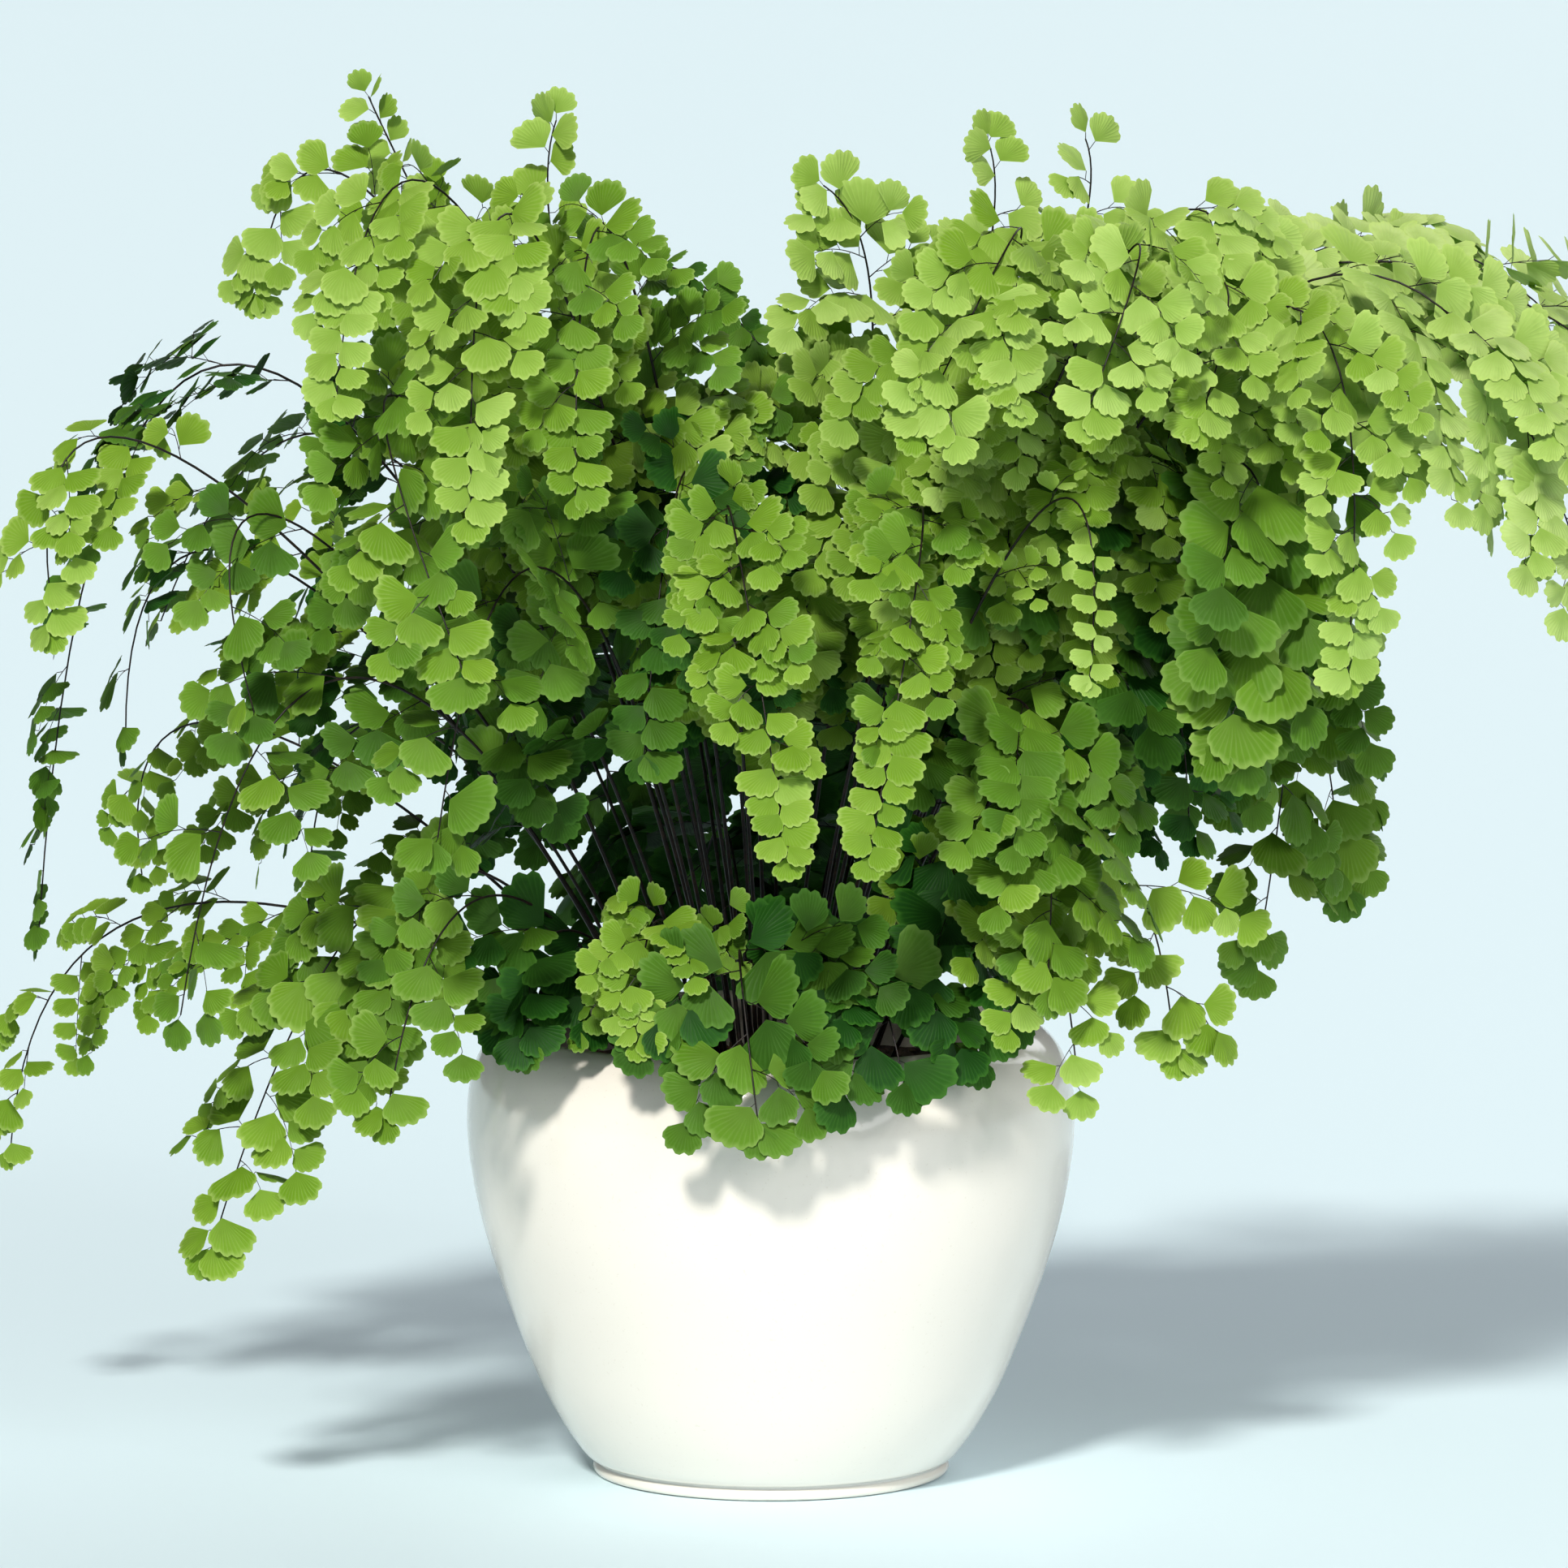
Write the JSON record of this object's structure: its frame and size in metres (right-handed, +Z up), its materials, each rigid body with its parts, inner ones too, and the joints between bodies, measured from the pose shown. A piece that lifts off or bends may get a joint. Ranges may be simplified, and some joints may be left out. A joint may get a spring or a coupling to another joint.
{
  "type": "potted maidenhair fern",
  "caption": "Living maidenhair fern in a round glazed ceramic pot, with arching black-stemmed fronds of small fan-shaped leaflets, standing free on the pot's foot.",
  "frame": {"origin": "centre of the pot's flat foot, on the surface it stands on", "axes": "+Z up along the pot's axis, -Y towards the side seen from the front, +X to its right"},
  "size_m": [0.6019, 0.3801, 0.4685],
  "materials": {
    "glaze": "glossy creamy white glaze over the whole pot",
    "potting_mix": "dark, moist, crumbly peat and bark",
    "rhizome": "scaly brown crown, half sunk in the mix",
    "leaflets": "thin soft bright green leaflets, paler at their lobed edges",
    "stipes": "polished black wiry stems"
  },
  "bodies": {
    "root": {"pot": "glaze", "potting_mix": "potting_mix", "rhizome": "rhizome", "frond_crest_left_1": "leaflets", "frond_crest_left_2": "leaflets", "frond_crest_left_3": "leaflets", "frond_crest_left_4": "leaflets", "frond_crest_left_5": "leaflets", "frond_crest_left_6": "leaflets", "frond_crest_left_7": "leaflets", "frond_crest_left_8": "leaflets", "frond_crest_left_9": "leaflets", "frond_left_1": "leaflets", "frond_left_2": "leaflets", "frond_left_3": "leaflets", "frond_left_4": "leaflets", "frond_left_5": "leaflets", "frond_left_6": "leaflets", "frond_left_7": "leaflets", "frond_left_8": "leaflets", "frond_left_9": "leaflets", "frond_left_10": "leaflets", "frond_front_1": "leaflets", "frond_front_2": "leaflets", "frond_front_3": "leaflets", "frond_front_4": "leaflets", "frond_front_5": "leaflets", "frond_front_6": "leaflets", "frond_front_7": "leaflets", "frond_front_8": "leaflets", "frond_front_9": "leaflets", "frond_crest_right_1": "leaflets", "frond_crest_right_2": "leaflets", "frond_crest_right_3": "leaflets", "frond_crest_right_4": "leaflets", "frond_crest_right_5": "leaflets", "frond_crest_right_6": "leaflets", "frond_crest_right_7": "leaflets", "frond_crest_right_8": "leaflets", "frond_crest_right_9": "leaflets", "frond_crest_right_10": "leaflets", "frond_crest_right_11": "leaflets", "frond_crest_right_12": "leaflets", "frond_crest_right_13": "leaflets", "frond_right_1": "leaflets", "frond_right_2": "leaflets", "frond_right_3": "leaflets", "frond_right_4": "leaflets", "frond_right_5": "leaflets", "frond_right_6": "leaflets", "frond_back_1": "leaflets", "frond_back_2": "leaflets", "frond_back_3": "leaflets", "frond_back_4": "leaflets", "frond_back_5": "leaflets", "frond_back_6": "leaflets", "frond_back_7": "leaflets", "frond_back_8": "leaflets", "frond_back_9": "leaflets", "frond_back_10": "leaflets"}
  },
  "joints": []
}
